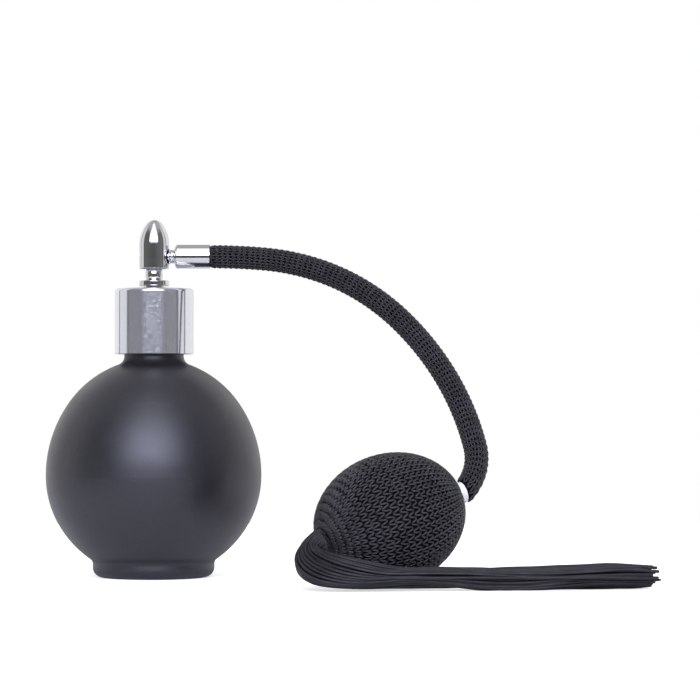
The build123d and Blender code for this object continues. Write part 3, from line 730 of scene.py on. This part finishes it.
def skirt_offset(outer, front, along, random_turn):
    """A lane's offset from the skirt's middle line, at each length along it."""
    lane = outer * unit(fold_across - (fold_across @ tassel_way) * tassel_way) + front * fold_normal
    swell = 1 + 0.38 * ease((along - 32 * MM) / (46 * MM)) - 0.4 * ease((along - 82 * MM) / (11 * MM))
    turn = random_turn * along / TASSEL_LENGTH
    high, wide = lane @ UP, lane @ tassel_side
    turned_high = high * np.cos(turn) + wide * np.sin(turn)
    turned_wide = wide * np.cos(turn) - high * np.sin(turn)
    height = (swell * turned_high * (TASSEL_HALF_HEIGHT - 0.5 * MM))[:, None] * UP
    width = (swell * turned_wide * (TASSEL_HALF_WIDTH - 0.5 * MM))[:, None] * tassel_side
    return height + width, high


def bezier(corners, count):
    t = np.linspace(0, 1, count)[:, None]
    first, second, third, fourth = corners
    return (
        (1 - t) ** 3 * first + 3 * (1 - t) ** 2 * t * second + 3 * (1 - t) * t**2 * third + t**3 * fourth
    )


def bundle_wander(random):
    """Each bundle's place in the tassel, and how far it sways at a length along the skirt."""
    bundles = []
    for index in range(BUNDLES):
        turn = index * GOLDEN_TURN
        place = 0.75 * math.sqrt(index / (BUNDLES - 1)) * np.array((math.cos(turn), math.sin(turn)))
        waves = [
            (random.normal(0, BUNDLE_SWAY), random.uniform(9, 16) * MM, random.uniform(0, 6))
            for _ in range(2)
        ]
        bundles.append((place, waves))
    return bundles


def cord_path(index, bundles, random):
    """One cord: out of the bulb's tail, over the fold and along the table."""
    outer, front = cord_lane(index)
    place, waves = min(bundles, key=lambda bundle: math.dist(bundle[0], (outer, front)))
    outer, front = ((1 - BUNDLE_PULL) * np.array((outer, front)) + BUNDLE_PULL * place) * 1.04
    outward = unit(fold_across - (fold_across @ bulb_way) * bulb_way)
    root_lane = -outer * outward + front * fold_normal
    distance = np.linalg.norm(root_lane)
    ring = unit(root_lane) * (3.9 + 0.5 * distance) * MM

    along = np.linspace(0, TASSEL_LENGTH - 3 * MM + random.normal(0, 1.6 * MM), 60)
    offset, high = skirt_offset(outer, front, along, random.normal(0.35, 0.15))
    rise = ((high + 1) / 2) ** 2
    lead = 20 * MM * rise
    skirt = skirt_start + along[:, None] * tassel_way + offset
    sway = sum(size * np.sin(along / length + start) for size, length, start in waves)
    sway = sway + random.normal(0, CORD_SWAY) * np.sin(along / (6 * MM) + random.uniform(0, 6))
    drift = random.normal(0, 0.25 * MM)
    skirt = skirt + (sway * ease(along / (20 * MM)))[:, None] * UP
    skirt = skirt + (drift * along / (30 * MM))[:, None] * tassel_side
    skirt = skirt[along >= lead]

    root = tassel_root + root_lane * TASSEL_START_RADIUS
    reach = (8.2 + 2.5 * outer) * MM
    back = (18.0 + 3.0 * rise) * MM
    before_skirt = skirt[0] - tassel_way * back + UP * 6 * MM * rise
    turn = bezier((root, root + bulb_way * reach, before_skirt, skirt[0]), FOLD_POINTS)
    fade = 1 - ease(np.linspace(0, 4, FOLD_POINTS))
    turn = turn + fade[:, None] * (ring - root_lane * TASSEL_START_RADIUS)
    return np.concatenate((turn[:-1], skirt))


def make_cords():
    """Every cord's path and radii, with rounded tips."""
    random = np.random.default_rng(31)
    bundles = bundle_wander(random)
    cords = []
    for index in range(CORD_COUNT):
        radius = random.uniform(*CORD_RADIUS)
        path = smoothed(cord_path(index, bundles, random), 6)
        path = clear_of_bulb(path, radius + 0.05 * MM)
        path = smoothed(path, 2)
        radii = np.full(len(path), radius) * (1 + 0.1 * np.sin(np.arange(len(path)) * 0.7 + index))
        tip = path[-1] + unit(path[-1] - path[-2]) * 0.3 * radius
        path = np.concatenate((path, [tip, tip + (tip - path[-1]) * 0.3]))
        radii = np.concatenate((radii, [radius * 0.7, radius * 0.05]))
        cords.append((path, radii))
    return cords


def make_tassel():
    """The tassel in three pieces: out to the middle of the fold, on into the skirt, and the skirt."""
    cords = make_cords()
    fold_middle = np.mean([path[FOLD_MIDDLE] for path, radii in cords], axis=0)
    fold_steps = [path[FOLD_MIDDLE + 2] - path[FOLD_MIDDLE - 2] for path, radii in cords]
    fold_way = unit(np.mean(fold_steps, axis=0))
    skirt_from = skirt_start + tassel_way * FOLD_TO_SKIRT
    names = ("tassel_root", "tassel_fold", "tassel_skirt")
    parts = [Surface() for name in names]
    for path, radii in cords:
        outward = carried_along(path, UP)
        rings = tube_rings(path, outward, radii, CORD_SIDES)
        first_cut = int(np.argmax((path - fold_middle) @ fold_way > 0))
        past_fold = np.arange(len(path)) > first_cut
        second_cut = int(np.argmax(((path - skirt_from) @ tassel_way > 0) & past_fold))
        parts[0].add(rings[: first_cut + 1])
        parts[1].add(rings[first_cut : second_cut + 1])
        parts[2].add(rings[second_cut:])
    pieces = [part.build(name + "_cords", silk, "black_silk") for part, name in zip(parts, names)]
    root, fold, skirt = pieces
    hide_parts("tassel_neck")
    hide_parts("tassel_skirt")
    root_way = unit(fold_middle - tassel_root)
    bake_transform(root)
    fold_start = fold_middle + tassel_way * 4.5 * MM
    fold_end = fold_start + unit(0.35 * fold_way + 0.94 * tassel_way) * 14 * MM
    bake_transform(fold)
    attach(skirt, "tassel")


def make_binding():
    """Turns of cord that bind the tassel to the bulb's tail."""
    angle = np.linspace(0, 2 * np.pi * BINDING_TURNS, 40 * BINDING_TURNS)
    along = np.linspace(-0.6 * MM, 1.2 * MM, len(angle))
    round_way = np.cos(angle)[:, None] * bulb_side + np.sin(angle)[:, None] * bulb_top
    path = tassel_root + along[:, None] * bulb_way + BINDING_RADIUS * round_way
    binding = Surface()
    binding.add(tube_rings(path, round_way, BINDING_CORD_RADIUS, 8))
    piece = binding.build("tassel_binding", yarn, "black_knit")
    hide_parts("tassel_head")
    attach(piece, "bulb_tail")


# ================= stage =================


def make_floor():
    mesh = bpy.data.meshes.new("floor")
    corners = [(x * FLOOR_HALF, y * FLOOR_HALF, 0) for x, y in ((-1, -1), (1, -1), (1, 1), (-1, 1))]
    mesh.from_pydata(corners, [], [(0, 1, 2, 3)])
    mesh.materials.append(floor_material())
    floor = bpy.data.objects.new("floor", mesh)
    bpy.context.scene.collection.objects.link(floor)


# brightness round the horizon, by degrees from the camera's side: grey straight behind with white on
# each side of it, then a bright panel between two dark edges, and a dim room in front
HORIZON = (
    (-180, 0.35), (-170, 0.5), (-162, 1.0), (-123, 1.0), (-119, 0.12), (-114, 0.85), (-86, 0.8),
    (-80, 0.05), (-73, 0.16), (0, 0.1), (71, 0.2), (77, 0.05), (83, 0.75),
    (101, 0.85), (106, 0.08), (111, 1.0), (162, 1.0), (170, 0.5), (180, 0.35),
)  # fmt: skip
WINDOW_HALF_WIDTH = math.radians(27)
WINDOW_SIDE_FADE = math.radians(12)
WINDOW_BOTTOM = math.sin(math.radians(11))
WINDOW_LOW_LIGHT = (5.6, 5.8, 7.0)  # low in the window
WINDOW_HIGH_LIGHT = (1.7, 1.7, 1.75)  # up to the ceiling
CEILING_LIGHT = (0.5, 0.5, 0.52)


def smooth_step(tree, source, low, high):
    inputs = {"Value": source, "From Min": low, "From Max": high}
    return add_node(tree, "ShaderNodeMapRange", inputs, interpolation_type="SMOOTHSTEP").outputs[0]


def blended(tree, factor, first, second):
    return add_node(tree, "ShaderNodeMix", {0: factor, 6: first, 7: second}, data_type="RGBA").outputs[2]


def make_world():
    """A white studio: the camera sees plain white, and the object is lit by and mirrors the rest."""
    world = bpy.data.worlds.new("studio")
    world.use_nodes = True
    bpy.context.scene.world = world
    tree = world.node_tree
    direction = add_node(tree, "ShaderNodeTexCoord").outputs["Generated"]
    parts = add_node(tree, "ShaderNodeSeparateXYZ", {0: direction})
    x, y, z = parts.outputs
    azimuth = math_node(tree, "ARCTAN2", x, math_node(tree, "MULTIPLY", y, -1.0))
    share = add_node(tree, "ShaderNodeMapRange", {0: azimuth, 1: -math.pi, 2: math.pi}).outputs[0]
    ramp = add_node(tree, "ShaderNodeValToRGB", {0: share})
    for degrees, light in HORIZON[1:-1]:
        ramp.color_ramp.elements.new((degrees + 180) / 360).color = (light, light, light, 1)
    for element in (ramp.color_ramp.elements[0], ramp.color_ramp.elements[-1]):
        element.color = (HORIZON[0][1],) * 3 + (1,)

    high = smooth_step(tree, z, 0.55, 0.9)
    room = blended(tree, high, ramp.outputs[0], (*CEILING_LIGHT, 1))
    sideways = math_node(tree, "ABSOLUTE", azimuth)
    edges = (WINDOW_HALF_WIDTH + WINDOW_SIDE_FADE, WINDOW_HALF_WIDTH - WINDOW_SIDE_FADE)
    inside = smooth_step(tree, sideways, *edges)
    above = smooth_step(tree, z, WINDOW_BOTTOM - 0.06, WINDOW_BOTTOM + 0.06)
    window = math_node(tree, "MULTIPLY", inside, above)
    light = blended(tree, smooth_step(tree, z, 0.5, 0.85), (*WINDOW_LOW_LIGHT, 1), (*WINDOW_HIGH_LIGHT, 1))
    studio = blended(tree, window, room, light)
    camera_ray = add_node(tree, "ShaderNodeLightPath").outputs["Is Camera Ray"]
    seen = blended(tree, camera_ray, studio, (1, 1, 1, 1))
    tree.links.new(seen, tree.nodes["Background"].inputs["Color"])


def make_camera():
    camera_data = bpy.data.cameras.new("camera")
    camera_data.lens = CAMERA_LENS
    camera_data.sensor_width = 36.0
    camera_data.clip_start = 0.01
    camera = bpy.data.objects.new("camera", camera_data)
    camera.location = CAMERA_PLACE
    camera.rotation_euler = (math.pi / 2 + CAMERA_PITCH, 0, 0)
    bpy.context.scene.collection.objects.link(camera)
    bpy.context.scene.camera = camera


finish_cad_nodes()
make_hose()
make_bulb()
make_tassel()
make_binding()
make_floor()
make_world()
make_camera()
bpy.context.scene.view_settings.view_transform = "Standard"
